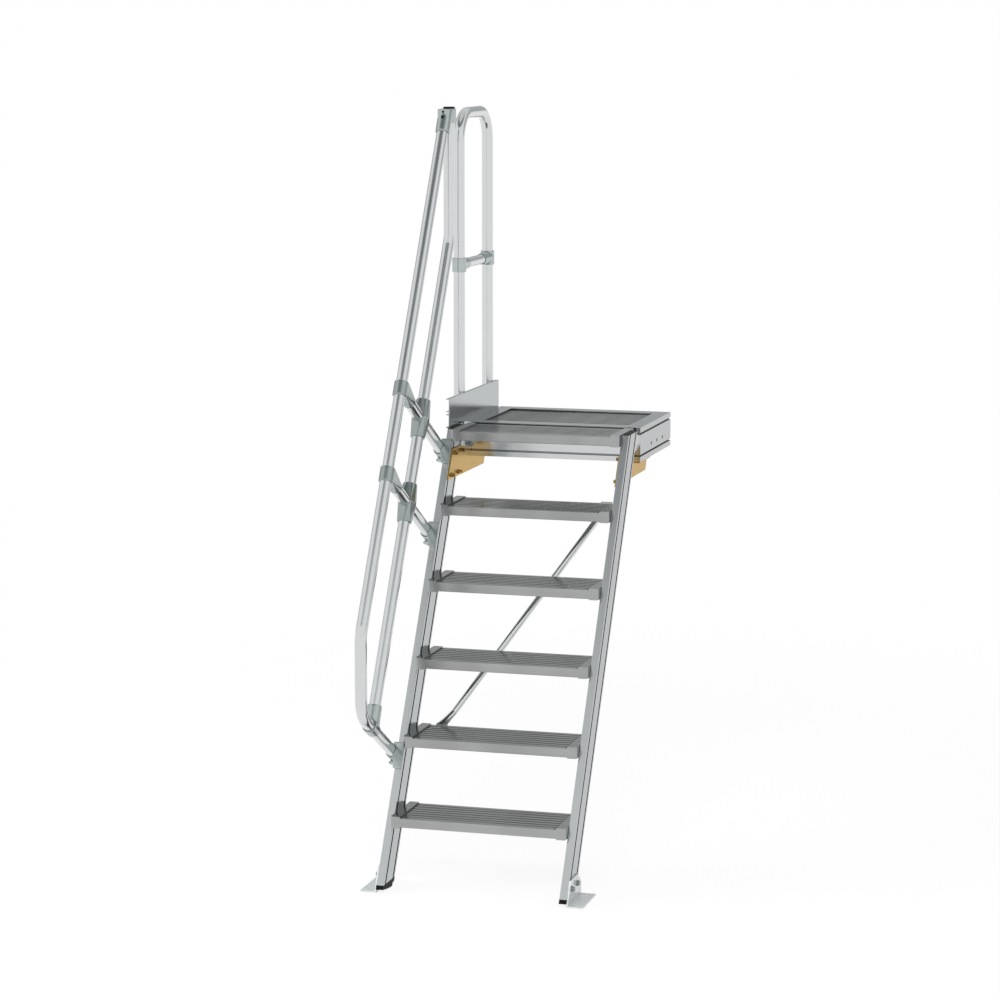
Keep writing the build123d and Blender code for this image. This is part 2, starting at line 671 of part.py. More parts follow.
def make_nodes():
    nodes = {}
    for name, side in SIDES.items():
        nodes[f"{name}_stile"] = stile(side)
        nodes[f"{name}_foot_cap"] = foot_cap(side)
        nodes[f"{name}_top_cap"] = top_cap(side)
        nodes[f"{name}_platform_gusset"] = gusset(side)
        nodes[f"{name}_floor_angle"] = floor_angle(side)
    step = tread()
    for number in range(1, STEPS + 1):
        nodes[f"tread_{number}"] = Pos(0, *tread_place(number)) * step
    nodes["platform_front_beam"] = front_beam()
    nodes["platform_rear_beam"] = rear_beam()
    nodes["platform_left_beam"] = left_beam()
    nodes["platform_right_beam"] = right_beam()
    nodes["platform_deck"] = deck_panel()
    nodes["toe_board"] = toe_board()
    nodes["guard_loop"] = guard_loop()
    nodes["guard_knee_bar"] = guard_knee_bar()
    for name, y, way in (("front", GUARD_FRONT_Y, 1), ("rear", GUARD_REAR_Y, -1)):
        nodes[f"guard_{name}_clamp"] = guard_clamp(y, way)
        nodes[f"guard_{name}_saddle"] = guard_saddle(y)
    nodes["handrail"] = handrail()
    nodes["knee_rail"] = knee_rail()
    nodes["top_joint"] = top_joint()
    nodes["top_plug"] = top_plug()
    nodes["knee_foot"] = knee_foot()
    nodes["lower_stile_bracket"] = stile_bracket(LOWER_STATION)
    for name, station in (("middle", MIDDLE_STATION), ("upper", UPPER_STATION)):
        nodes[f"{name}_stile_bracket"] = stile_bracket(station)
        nodes[f"{name}_inner_spindle"] = inner_spindle(station)
        nodes[f"{name}_outer_spindle"] = outer_spindle(station)
        nodes[f"{name}_knee_cross"] = knee_cross(station)
        nodes[f"{name}_handrail_tee"] = handrail_tee(station)
    nodes["diagonal_brace"] = brace()
    return nodes


os.makedirs("parts", exist_ok=True)
for node, solid in make_nodes().items():
    export_step(solid, f"parts/{node}.step")
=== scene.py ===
# %% [markdown]
# # An aluminium platform stair
# Six ribbed treads climb between two slotted stiles to a small platform. One handrail follows the
# left stile and a guard loop stands beside the platform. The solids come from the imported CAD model,
# and this lesson adds the finishes, the fasteners, the light and the camera around them.

# %% Load the frame
from math import cos, radians, sin
import bpy
from mathutils import Matrix, Vector


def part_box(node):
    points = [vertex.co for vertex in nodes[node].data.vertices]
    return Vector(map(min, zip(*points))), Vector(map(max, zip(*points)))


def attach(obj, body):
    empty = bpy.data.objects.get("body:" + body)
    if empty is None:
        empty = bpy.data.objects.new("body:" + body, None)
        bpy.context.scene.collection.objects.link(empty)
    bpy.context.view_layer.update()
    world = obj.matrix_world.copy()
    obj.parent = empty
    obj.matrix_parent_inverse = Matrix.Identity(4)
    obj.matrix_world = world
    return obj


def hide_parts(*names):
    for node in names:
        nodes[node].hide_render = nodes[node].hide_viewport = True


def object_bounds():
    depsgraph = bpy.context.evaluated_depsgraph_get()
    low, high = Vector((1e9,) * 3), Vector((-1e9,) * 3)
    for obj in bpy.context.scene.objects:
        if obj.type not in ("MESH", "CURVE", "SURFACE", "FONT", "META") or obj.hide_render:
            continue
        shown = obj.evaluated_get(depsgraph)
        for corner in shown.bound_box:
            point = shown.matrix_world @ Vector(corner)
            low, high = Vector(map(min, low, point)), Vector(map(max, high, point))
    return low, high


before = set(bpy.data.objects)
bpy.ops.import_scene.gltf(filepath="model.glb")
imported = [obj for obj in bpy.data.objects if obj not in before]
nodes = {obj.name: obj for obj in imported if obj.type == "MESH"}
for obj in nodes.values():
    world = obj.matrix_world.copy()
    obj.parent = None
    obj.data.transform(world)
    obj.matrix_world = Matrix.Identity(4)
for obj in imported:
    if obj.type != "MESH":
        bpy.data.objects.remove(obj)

cad_box = [list(corner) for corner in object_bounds()]
print("CAD nodes:", len(nodes), "box:", cad_box)

# %% [markdown]
# ## Camera
# The picture was taken from the right of the stair and a little above the platform, with a long lens
# that keeps the stiles almost parallel. A camera could be aimed with a constraint, but a few plain
# numbers for its place, turn and lens are easier to read and to check against the picture.

# %% Camera
CAMERA_PLACE = (2.8748, -11.1353, 1.4784)
CAMERA_TURN = 16.02
CAMERA_DROP = 8.67
CAMERA_LENS = 114.68
SENSOR_WIDTH = 36
VIEW_DEPTH = 200

bpy.ops.object.select_all(action="DESELECT")
camera_turn = (radians(90 - CAMERA_DROP), 0, radians(CAMERA_TURN))
bpy.ops.object.camera_add(location=CAMERA_PLACE, rotation=camera_turn)
camera = bpy.context.object
camera.data.lens = CAMERA_LENS
camera.data.sensor_width = SENSOR_WIDTH
camera.data.clip_end = VIEW_DEPTH
bpy.context.scene.camera = camera
print("camera at", tuple(camera.location))

# %% [markdown]
# ## Wires: shader maths as Python
# A finish is a small network of nodes. Wiring each one by hand takes many lines, so one class wraps an
# output socket. Plus, minus and times on it add Math nodes, and its node method adds any other kind.


# %% Wires
class Wire:
    """One output socket. Arithmetic on it adds Math nodes."""

    def __init__(self, socket):
        self.socket = socket

    def node(self, kind, settings=None, inputs=None, output=0):
        """Adds a node: its settings first, then a value or a wire for each named socket."""
        tree = self.socket.id_data
        made = tree.nodes.new(kind)
        for name, value in (settings or {}).items():
            setattr(made, name, value)
        for name, value in (inputs or {}).items():
            if isinstance(value, Wire):
                tree.links.new(value.socket, made.inputs[name])
            else:
                made.inputs[name].default_value = value
        return Wire(made.outputs[output])

    def maths(self, operation, *values):
        """Adds a Math node and fills its sockets in order."""
        return self.node("ShaderNodeMath", {"operation": operation}, dict(enumerate(values)))

    def __add__(self, other):
        return self.maths("ADD", self, other)

    def __radd__(self, other):
        return self.maths("ADD", other, self)

    def __sub__(self, other):
        return self.maths("SUBTRACT", self, other)

    def __rsub__(self, other):
        return self.maths("SUBTRACT", other, self)

    def __mul__(self, other):
        return self.maths("MULTIPLY", self, other)

    def __rmul__(self, other):
        return self.maths("MULTIPLY", other, self)


# %% Patterns and masks
RIGHT, BACK, UP = (1, 0, 0), (0, 1, 0), (0, 0, 1)


def blend(mask, first, second):
    """Colour that goes from first to second as mask goes from 0 to 1."""
    return mask.node("ShaderNodeMix", {"data_type": "RGBA"}, {0: mask, 6: first, 7: second}, 2)


def between(mask, low, high):
    """Number that goes from low to high as mask goes from 0 to 1."""
    return low + (high - low) * mask


def ramp(wire, low, high, start=0.0, end=1.0):
    """Start where a wire is below low, end where it is above high, and even in between."""
    limits = {"From Min": low, "From Max": high, "To Min": start, "To Max": end}
    return wire.node("ShaderNodeMapRange", {}, {"Value": wire, **limits})


def noise(place, scale, detail, stretch=(1, 1, 1), turn=(0, 0, 0)):
    """Noise from 0 to 1 in the space of place, stretched along its axes and turned."""
    mapped = place.node("ShaderNodeMapping", {}, {"Vector": place, "Rotation": turn, "Scale": stretch})
    return mapped.node("ShaderNodeTexNoise", {}, {"Vector": mapped, "Scale": scale, "Detail": detail})


def bump(height, strength, distance):
    """Surface normal tilted by a height."""
    inputs = {"Height": height, "Strength": strength, "Distance": distance}
    return height.node("ShaderNodeBump", {}, inputs)


def is_near(wire, value, reach):
    """1 where a wire is within reach of a value, else 0."""
    return wire.maths("COMPARE", wire, value, reach)


def is_above(wire, level):
    """1 where a wire is above a level, else 0."""
    return wire.maths("GREATER_THAN", wire, level)


def size_of(wire):
    """The wire without its sign."""
    return wire.maths("ABSOLUTE", wire)


def part_along(place, way):
    """How far a place lies along a direction."""
    settings = {"operation": "DOT_PRODUCT"}
    return place.node("ShaderNodeVectorMath", settings, {0: place, 1: way}, "Value")


# %% Finishes
WHITE = (1, 1, 1, 1)


def new_finish(name, metallic=1.0, rim=WHITE):
    """A material with its shader and a wire that holds the Object coordinates.

    A rim below white dulls the gloss of a metal where it is seen at a grazing angle.
    """
    material = bpy.data.materials.new(name)
    material.use_nodes = True
    shader = material.node_tree.nodes["Principled BSDF"]
    shader.inputs["Metallic"].default_value = metallic
    shader.inputs["Specular Tint"].default_value = rim
    place = Wire(material.node_tree.nodes.new("ShaderNodeTexCoord").outputs["Object"])
    return material, shader, place


def plug(shader, **wires):
    """Links wires to a shader's sockets; base_color goes to Base Color."""
    for name, wire in wires.items():
        shader.id_data.links.new(wire.socket, shader.inputs[name.replace("_", " ").title()])


def names_with(*words):
    """Names of the CAD nodes that hold one of the words."""
    return [name for name in nodes if any(word in name for word in words)]


def dress(material, *words):
    """Gives a finish to every CAD node whose name holds one of the words."""
    dressed = names_with(*words)
    for name in dressed:
        nodes[name].data.materials.clear()
        nodes[name].data.materials.append(material)
    print(material.name, "on", len(dressed), "nodes")


# %% [markdown]
# ## Extruded aluminium
# Stiles, platform beams and toe board are drawn through a die, which leaves fine streaks along their
# length. A brushed image could show them, but noise stretched along the bar needs no image. The
# stiles lean by 60 degrees, so their noise is turned to run up the slope. Shade falls in the slots, so
# each finish also gets a mask that finds the slots by their place on the section and paints them dark
# as shade. A second mask paints a line of shade on the narrow inner walls around the deck, in the
# corner.

# %% Extruded aluminium
EXTRUDED_RIM = (0.8, 0.8, 0.8, 1)
EXTRUDED_ROUGHNESS = (0.14, 0.19)
# Colours of painted shade: dark for deep slots and the deck corner, lighter for the front and rear
# beams' slots.
PAINTED_DEEP_SHADE = (0.02, 0.02, 0.022, 1)
SLOT_SHADED = (0.2, 0.2, 0.205, 1)
SEAM_REACH = 0.0008
SEAM_HEIGHT, SEAM_HALF = 0.0555, 0.0018


def extruded_finish(name, colours, slots, slot_shade, stretch, turn=(0, 0, 0), seam=None):
    """Streaked metal with painted shade in the slots on both sides of the section's middle, and a
    painted shade line beside the deck.
    """
    across, middle, slot, reach = slots
    material, shader, place = new_finish(name, rim=EXTRUDED_RIM)
    streaks = noise(place, scale=1.0, detail=3.0, stretch=stretch, turn=turn)
    clouds = noise(place, scale=3.0, detail=2.0)
    metal = blend(0.3 * streaks + 0.7 * clouds, *colours)
    # Painted shade: the slots are coloured dark where shade falls inside them.
    slot_shade_mask = is_near(size_of(part_along(place, across) - middle), slot, reach)
    colour = blend(slot_shade_mask, metal, slot_shade)
    if seam:
        # Painted shade: a dark line on the inner walls beside the deck, in the corner.
        way, distance = seam
        wall = is_near(size_of(part_along(place, way)), distance, SEAM_REACH)
        level = is_near(part_along(place, UP), SEAM_HEIGHT, SEAM_HALF)
        colour = blend(wall * level, colour, PAINTED_DEEP_SHADE)
    plug(shader, base_color=colour, roughness=between(streaks, *EXTRUDED_ROUGHNESS))
    return material


# %% Stiles
ALUMINIUM = ((0.485, 0.505, 0.51, 1), (0.565, 0.585, 0.59, 1))
FINE, LONG = 150, 2.5
STAIR_SLOPE = 60
STILE_HALF_DEPTH = 0.0525
STILE_SLOT, STILE_SLOT_REACH = 0.0355, 0.0052

stile_across = Vector((0, sin(radians(STAIR_SLOPE)), -cos(radians(STAIR_SLOPE))))
stile_middle = stile_across.dot(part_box("left_stile")[0]) + STILE_HALF_DEPTH
stile_slots = (stile_across, stile_middle, STILE_SLOT, STILE_SLOT_REACH)
stile_run = (FINE, FINE, LONG)
stile_lean = (radians(90 - STAIR_SLOPE), 0, 0)
stile_finish = extruded_finish(
    "stile_aluminium", ALUMINIUM, stile_slots, PAINTED_DEEP_SHADE, stile_run, stile_lean
)
dress(stile_finish, "left_stile", "right_stile")

# %% Platform beams
# A lighter copy of the aluminium for the front and rear beams: painted light, with lighter painted
# shade in their slots.
LIT_ALUMINIUM = ((0.57, 0.585, 0.59, 1), (0.65, 0.665, 0.67, 1))
BEAM_SLOT, BEAM_SLOT_REACH = 0.0385, 0.0037
DECK_FIT = 0.0003

beam_slots = (UP, 0, BEAM_SLOT, BEAM_SLOT_REACH)
cross_run, side_run = (LONG, FINE, FINE), (FINE, LONG, FINE)
deck_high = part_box("platform_deck")[1]
rear_seam = (BACK, -deck_high.y - DECK_FIT)
side_seam = (RIGHT, deck_high.x + DECK_FIT)
lit_cross_finish = extruded_finish(
    "lit_cross_beam_aluminium", LIT_ALUMINIUM, beam_slots, SLOT_SHADED, cross_run, seam=rear_seam
)
side_finish = extruded_finish(
    "side_beam_aluminium", ALUMINIUM, beam_slots, PAINTED_DEEP_SHADE, side_run, seam=side_seam
)
dress(lit_cross_finish, "front_beam", "rear_beam")
dress(side_finish, "left_beam", "right_beam", "toe_board")

# %% [markdown]
# ## Ribbed treads and deck
# The treads and the deck panel are duller: their ribs are sandblasted for grip and hold some dirt. The
# ribs are solids already, so the finish only adds a coarse grain and streaks along the ribs. Shade is
# painted dark in the grooves, and a darker line is painted beside the end caps. The treads are one rise
# apart, so a remainder of the height finds the grooves of all of them at once.

# %% Ribbed aluminium
RIB_DARK = (0.29, 0.294, 0.294, 1)
RIB_LIGHT = (0.43, 0.434, 0.434, 1)
RIB_RIM = (0.93, 0.93, 0.93, 1)
RIB_ROUGHNESS = (0.16, 0.22)
RIB_RUN, SHEEN_RUN = (1.2, 36, 36), (6, 2, 3)
SHEEN_LOW, SHEEN_HIGH = 0.35, 0.65

rib_finish, rib_shader, rib_place = new_finish("ribbed_aluminium", rim=RIB_RIM)
rib_streaks = noise(rib_place, scale=1.0, detail=2.0, stretch=RIB_RUN)
rib_patches = noise(rib_place, scale=9.0, detail=3.0)
rib_sheen = ramp(noise(rib_place, scale=1.0, detail=1.0, stretch=SHEEN_RUN), SHEEN_LOW, SHEEN_HIGH)
rib_metal = blend(0.4 * rib_streaks + 0.2 * rib_patches + 0.4 * rib_sheen, RIB_DARK, RIB_LIGHT)
dress(rib_finish, "tread_", "platform_deck")

# %% Painted shade and dark lines on the ribs
# Colour for the painted shade in the grooves, also used for the darker line beside the end caps.
GROOVE_SHADE_AND_CAP_DARK = (0.15, 0.15, 0.15, 1)
RISE, DECK_TOP = 0.24, 0.06
GROOVE_DEPTH, GROOVE_REACH = 0.006, 0.0007
CAP_EDGE, CAP_EDGE_REACH = 0.263, 0.004
LOOKS_UP = 0.5

rib_normal = rib_place.node("ShaderNodeNewGeometry", output="Normal")
rib_up = is_above(part_along(rib_normal, UP), LOOKS_UP)
rib_depth = rib_place.maths("MODULO", DECK_TOP - part_along(rib_place, UP), RISE)
rib_groove_shade = is_near(rib_depth, GROOVE_DEPTH, GROOVE_REACH)
rib_corner = is_near(size_of(part_along(rib_place, RIGHT)), CAP_EDGE, CAP_EDGE_REACH)
# On faces that look up: painted shade in the grooves and a darker line beside the end caps.
plug(
    rib_shader,
    base_color=blend(rib_up * (rib_groove_shade + rib_corner), rib_metal, GROOVE_SHADE_AND_CAP_DARK),
    roughness=between(rib_patches, *RIB_ROUGHNESS),
)
print("nodes in the ribbed finish:", len(rib_finish.node_tree.nodes))

# %% [markdown]
# ## Rail tubes
# The rails are bright drawn tube. Its polish is uneven in soft patches, which is what makes a plain
# metal look real, so a large noise moves the roughness, and a small one joins it for the colour.

# %% Tube aluminium
TUBE_DARK = (0.62, 0.63, 0.635, 1)
TUBE_LIGHT = (0.70, 0.71, 0.715, 1)
TUBE_ROUGHNESS = (0.1, 0.2)

tube_finish, tube_shader, tube_place = new_finish("tube_aluminium")
tube_patches = noise(tube_place, scale=5.0, detail=3.0)
tube_cloud = noise(tube_place, scale=30.0, detail=3.0)
plug(
    tube_shader,
    base_color=blend(0.5 * tube_patches + 0.5 * tube_cloud, TUBE_DARK, TUBE_LIGHT),
    roughness=between(tube_patches, *TUBE_ROUGHNESS),
)
dress(tube_finish, "spindle", "guard_loop", "knee_bar", "knee_rail", "brace", "handrail")

# %% [markdown]
# ## Castings
# Tees, crosses and brackets are cast aluminium with a grey-green tint and a slightly rough skin. Fine
# bump over noise gives the skin of the sand mould. The tees and crosses get a darker copy of the same
# metal, painted shade for their shaded webs, so one function makes both tones.

# %% Cast aluminium
CAST_DARK = (0.40, 0.44, 0.44, 1)
CAST_LIGHT = (0.51, 0.55, 0.55, 1)
# A darker copy of the cast metal for the tees and crosses: painted shade.
SHADED_WEB_DARK = (0.29, 0.325, 0.325, 1)
SHADED_WEB_LIGHT = (0.42, 0.46, 0.46, 1)
CAST_RIM = (0.9, 0.9, 0.9, 1)
CAST_ROUGHNESS = (0.15, 0.25)
PLAIN_CASTINGS = ("clamp", "saddle", "knee_foot", "joint", "bracket")
WEBBED_CASTINGS = ("tee", "cross")


def cast_metal(name, dark, light):
    """Cast metal with soft patches between two tones and the skin of a sand mould."""
    finish, shader, place = new_finish(name, rim=CAST_RIM)
    skin = noise(place, scale=420.0, detail=4.0)
    patches = noise(place, scale=24.0, detail=2.0)
    plug(
        shader,
        base_color=blend(patches, dark, light),
        roughness=between(skin, *CAST_ROUGHNESS),
        normal=bump(skin, strength=0.1, distance=0.0005),
    )
    return finish


cast_finish = cast_metal("cast_aluminium", CAST_DARK, CAST_LIGHT)
shaded_web_finish = cast_metal("shaded_webbed_cast_aluminium", SHADED_WEB_DARK, SHADED_WEB_LIGHT)
dress(cast_finish, *PLAIN_CASTINGS)
dress(shaded_web_finish, *WEBBED_CASTINGS)

# %% [markdown]
# ## Zinc, steel and plastic
# The plates below the platform are steel with yellow zinc, whose colour drifts between straw and
# amber. The floor angles are hot-dip galvanised, with pale crystals that a Voronoi texture gives. Most
# bolts get a dark grey steel, painted shade that stands in for their shadowed undersides. Caps and plug
# are moulded black plastic with a fine grain.

# %% Yellow zinc
ZINC_AMBER = (0.47, 0.295, 0.085, 1)
ZINC_STRAW = (0.58, 0.385, 0.125, 1)
ZINC_RIM = (0.97, 0.92, 0.8, 1)
ZINC_ROUGHNESS = (0.24, 0.36)

zinc_finish, zinc_shader, zinc_place = new_finish("yellow_zinc", rim=ZINC_RIM)
zinc_drift = noise(zinc_place, scale=14.0, detail=3.0)
zinc_grain = noise(zinc_place, scale=500.0, detail=2.0)
plug(
    zinc_shader,
    base_color=blend(zinc_drift, ZINC_AMBER, ZINC_STRAW),
    roughness=between(zinc_grain, *ZINC_ROUGHNESS),
    normal=bump(zinc_grain, strength=0.08, distance=0.0004),
)
dress(zinc_finish, "gusset")

# %% Galvanised steel
GALVANISED_DARK = (0.62, 0.645, 0.645, 1)
GALVANISED_LIGHT = (0.69, 0.715, 0.715, 1)
GALVANISED_RIM = (0.8, 0.8, 0.8, 1)
GALVANISED_ROUGHNESS = (0.08, 0.14)
CRYSTAL_SCALE = 110.0

galvanised_finish, galvanised_shader, galvanised_place = new_finish(
    "galvanised_steel", metallic=0.4, rim=GALVANISED_RIM
)
crystal_inputs = {"Vector": galvanised_place, "Scale": CRYSTAL_SCALE}
crystals = galvanised_place.node("ShaderNodeTexVoronoi", {"feature": "F1"}, crystal_inputs, "Color")
crystal_level = crystals.node("ShaderNodeSeparateColor", {}, {"Color": crystals})
plug(
    galvanised_shader,
    base_color=blend(crystal_level, GALVANISED_DARK, GALVANISED_LIGHT),
    roughness=between(crystal_level, *GALVANISED_ROUGHNESS),
)
dress(galvanised_finish, "floor_angle")

# %% Bolt steel
# Dark steel for the bolts: painted shade for their shadowed undersides.
SHADED_STEEL_DARK = (0.26, 0.265, 0.265, 1)
SHADED_STEEL_LIGHT = (0.42, 0.425, 0.425, 1)
STEEL_ROUGHNESS = (0.2, 0.35)

shaded_steel_finish, steel_shader, steel_place = new_finish("shaded_bolt_steel")
steel_patches = noise(steel_place, scale=160.0, detail=3.0)
plug(
    steel_shader,
    base_color=blend(steel_patches, SHADED_STEEL_DARK, SHADED_STEEL_LIGHT),
    roughness=between(steel_patches, *STEEL_ROUGHNESS),
)
print("finish for bolts:", shaded_steel_finish.name)

# %% Black plastic
PLASTIC_DARK = (0.004, 0.004, 0.0045, 1)
PLASTIC_WORN = (0.012, 0.012, 0.013, 1)
PLASTIC_ROUGHNESS = (0.36, 0.56)
PLASTIC_GLOSS = 0.05

plastic_finish, plastic_shader, plastic_place = new_finish("black_plastic", metallic=0.0)
plastic_shader.inputs["Specular IOR Level"].default_value = PLASTIC_GLOSS
plastic_grain = noise(plastic_place, scale=700.0, detail=3.0)
plastic_scuffs = noise(plastic_place, scale=40.0, detail=4.0)
plug(
    plastic_shader,
    base_color=blend(plastic_scuffs, PLASTIC_DARK, PLASTIC_WORN),
    roughness=between(plastic_scuffs, *PLASTIC_ROUGHNESS),
    normal=bump(plastic_grain, strength=0.2, distance=0.0006),
)
dress(plastic_finish, "cap", "plug")

# %% [markdown]
# ## Bolts
# Hexagon bolts on washers hold the plates. One bolt is modelled at the origin, with its head along +Z:
# a six-sided cylinder whose outer face is inset and raised for the chamfer, on a bevelled washer. It is
# then copied to its places, and all the bolts of one plate are joined to one piece.

# %% One bolt
ROUND_SIDES = 32
BEVEL_STEPS = 2
SAME_WAY = 0.9
WASHER_SPREAD = 1.25
CHAMFER_WIDTH, CHAMFER_RISE = 0.12, 0.1
DISH_RIM, DISH_EDGE, DISH_DEPTH = 0.2, 0.08, 0.08


def faces_towards(mesh, way):
    """Selects in edit mode the faces that look along a direction."""
    bpy.ops.object.mode_set(mode="EDIT")
    bpy.ops.mesh.select_all(action="DESELECT")
    bpy.ops.object.mode_set(mode="OBJECT")
    for face in mesh.polygons:
        face.select = face.normal.dot(Vector(way)) > SAME_WAY
    bpy.ops.object.mode_set(mode="EDIT")


def model_bolt(name, across, height):
    """Hexagon head on a washer, seated on z = 0."""
    radius = across / 2
    washer_height = height / 3
    bpy.ops.object.select_all(action="DESELECT")
    bpy.ops.mesh.primitive_cylinder_add(
        vertices=ROUND_SIDES,
        radius=WASHER_SPREAD * radius,
        depth=washer_height,
        location=(0, 0, washer_height / 2),
    )
    washer = bpy.context.object
    faces_towards(washer.data, UP)
    bpy.ops.mesh.bevel(offset=washer_height / 3, segments=BEVEL_STEPS, affect="EDGES")
    bpy.ops.object.mode_set(mode="OBJECT")
    bpy.ops.object.select_all(action="DESELECT")
    bpy.ops.mesh.primitive_cylinder_add(
        vertices=6, radius=radius, depth=height, location=(0, 0, washer_height + height / 2)
    )
    head = bpy.context.object
    faces_towards(head.data, UP)
    bpy.ops.mesh.inset(thickness=CHAMFER_WIDTH * radius)
    bpy.ops.transform.translate(value=(0, 0, CHAMFER_RISE * height))
    bpy.ops.mesh.inset(thickness=DISH_RIM * radius)
    bpy.ops.mesh.inset(thickness=DISH_EDGE * radius, depth=-DISH_DEPTH * height)
    bpy.ops.object.mode_set(mode="OBJECT")
    washer.select_set(True)
    bpy.ops.object.join()
    bolt = bpy.context.object
    bolt.name = name
    bpy.ops.object.transform_apply(location=True, rotation=True, scale=True)
    return bolt


plate_bolt = model_bolt("plate_bolt", across=0.013, height=0.009)
angle_bolt = model_bolt("angle_bolt", across=0.017, height=0.007)
small_bolt = model_bolt("small_bolt", across=0.009, height=0.003)
print("bolt faces:", len(plate_bolt.data.polygons))

# %% [markdown]
# ## Rounded castings
# A casting has no sharp edge: its rims are round and its corners are filled where sleeves meet. A bevel
# could round the rims but not those curved seams. So a copy of each cast solid is merged, remeshed to
# an even skin, smoothed, which rounds every edge a little, and thinned again. On the tees and crosses
# a web fills the corners from collar to socket, so their copies are first drawn tight by a hull.

# %% Rounded castings
MERGE_GAP = 0.00002
SKIN_SIZE = 0.0011
ROUNDING_STEPS = 8
KEPT_SHARE = 0.2


def finish_piece(piece, name, finish):
    """Names a piece, gives it its finish and hangs it on the frame."""
    piece.name = name
    piece.data.materials.clear()
    piece.data.materials.append(finish)
    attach(piece, "root")
    print(name, "faces:", len(piece.data.polygons))


def round_casting(node_name):
    """Makes a rounded copy of a cast node and shows it in the node's place."""
    webbed = any(word in node_name for word in WEBBED_CASTINGS)
    bpy.ops.object.select_all(action="DESELECT")
    piece = bpy.data.objects.new(node_name, nodes[node_name].data.copy())
    bpy.context.collection.objects.link(piece)
    bpy.context.view_layer.objects.active = piece
    piece.select_set(True)
    bpy.ops.object.mode_set(mode="EDIT")
    bpy.ops.mesh.select_all(action="SELECT")
    bpy.ops.mesh.remove_doubles(threshold=MERGE_GAP)
    if webbed:
        bpy.ops.mesh.convex_hull()
    bpy.ops.object.mode_set(mode="OBJECT")
    skin = piece.modifiers.new("skin", "REMESH")
    skin.mode = "VOXEL"
    skin.voxel_size = SKIN_SIZE
    rounding = piece.modifiers.new("rounding", "SMOOTH")
    rounding.iterations = ROUNDING_STEPS
    thinning = piece.modifiers.new("thinning", "DECIMATE")
    thinning.ratio = KEPT_SHARE
    for modifier in ("skin", "rounding", "thinning"):
        bpy.ops.object.modifier_apply(modifier=modifier)
    bpy.ops.object.shade_smooth()
    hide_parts(node_name)
    finish = shaded_web_finish if webbed else cast_finish
    finish_piece(piece, f"{node_name}_casting", finish)


for cast_name in names_with(*PLAIN_CASTINGS, *WEBBED_CASTINGS):
    round_casting(cast_name)

# %% [markdown]
# ## Bolts in place
# The gold plates carry four bolts each, in line with the stile's slots, and the floor angles two. The
# brace has one bolt in each flattened end, and small screws hold the guard posts to their saddles and
# the handrail in the top joint. Each bolt is seated on the face that carries it.

# %% Plate and angle bolts
PLATE_SPOTS = ((-0.665, -0.024), (-0.580, -0.025), (-0.701, -0.096), (-0.617, -0.096))
ANGLE_SPOTS = ((-1.358, -1.327), (-1.422, -1.330))
ANGLE_WALL = 0.005


def set_bolts(name, bolt, spots, way, finish):
    """Copies a bolt to its spots with its head along way, and joins the copies to one piece."""
    turn = Vector(UP).rotation_difference(Vector(way)).to_matrix().to_4x4()
    bpy.ops.object.select_all(action="DESELECT")
    for spot in spots:
        copy = bpy.data.objects.new(name, bolt.data.copy())
        bpy.context.collection.objects.link(copy)
        copy.data.transform(Matrix.Translation(spot) @ turn)
        copy.select_set(True)
        bpy.context.view_layer.objects.active = copy
    if len(spots) > 1:
        bpy.ops.object.join()
    finish_piece(bpy.context.view_layer.objects.active, name, finish)


for side, sign in (("left", -1), ("right", 1)):
    inward, outward = (-sign, 0, 0), (sign, 0, 0)
    plate_low, plate_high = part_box(f"{side}_platform_gusset")
    plate_x = plate_high.x if side == "left" else plate_low.x
    plate_spots = [(plate_x, y, z) for y, z in PLATE_SPOTS]
    set_bolts(
        f"{side}_gusset_bolts", plate_bolt, plate_spots, inward, zinc_finish
    )
    stile_low, stile_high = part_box(f"{side}_stile")
    angle_x = (stile_high.x if side == "right" else stile_low.x) + sign * ANGLE_WALL
    angle_spots = [(angle_x, y, z) for y, z in ANGLE_SPOTS]
    set_bolts(
        f"{side}_angle_bolts", angle_bolt, angle_spots, outward, shaded_steel_finish
    )

# %% Brace bolts
TAB_HALF, TAB_RISE, TAB_WALL = 0.020, 0.0125, 0.005

brace_low, brace_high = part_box("diagonal_brace")
brace_spots = [
    (brace_low.x + TAB_HALF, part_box("tread_2")[1].y + TAB_WALL, brace_low.z + TAB_RISE),
    (brace_high.x - TAB_HALF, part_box("tread_5")[1].y + TAB_WALL, brace_high.z - TAB_RISE),
]
set_bolts("brace_bolts", plate_bolt, brace_spots, BACK, shaded_steel_finish)

# %% Guard post screws
LEFT = (-1, 0, 0)
SCREW_RISE = 0.016

post_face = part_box("guard_loop")[0].x
post_spots = []
for post in ("front", "rear"):
    saddle_low, saddle_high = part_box(f"guard_{post}_saddle")
    middle = (saddle_low + saddle_high) / 2
    post_spots += [(post_face, middle.y, middle.z + rise) for rise in (-SCREW_RISE, SCREW_RISE)]
set_bolts("guard_post_screws", small_bolt, post_spots, LEFT, shaded_steel_finish)

# %% Top joint screws
SCREW_STATIONS = (0.048, 0.068)

up_slope = Vector((0, cos(radians(STAIR_SLOPE)), sin(radians(STAIR_SLOPE))))
out_of_slope = -stile_across
joint_low, joint_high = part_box("top_joint")
joint_radius = (joint_high.x - joint_low.x) / 2
mouth = Vector((
    joint_low.x + joint_radius,
    joint_low.y - joint_radius * out_of_slope.y,
    joint_low.z + joint_radius * out_of_slope.z,
))
joint_front = mouth + out_of_slope * joint_radius
joint_spots = [joint_front + up_slope * station for station in SCREW_STATIONS]
set_bolts("top_joint_screws", small_bolt, joint_spots, out_of_slope, plastic_finish)

# %% [markdown]
# ## Pinch bolts
# Each cast bracket closes on its rail with a cross bolt below the socket. It is a round boss on the
# bracket's cheek, drawn from a cylinder, with a bolt head on its outer end.

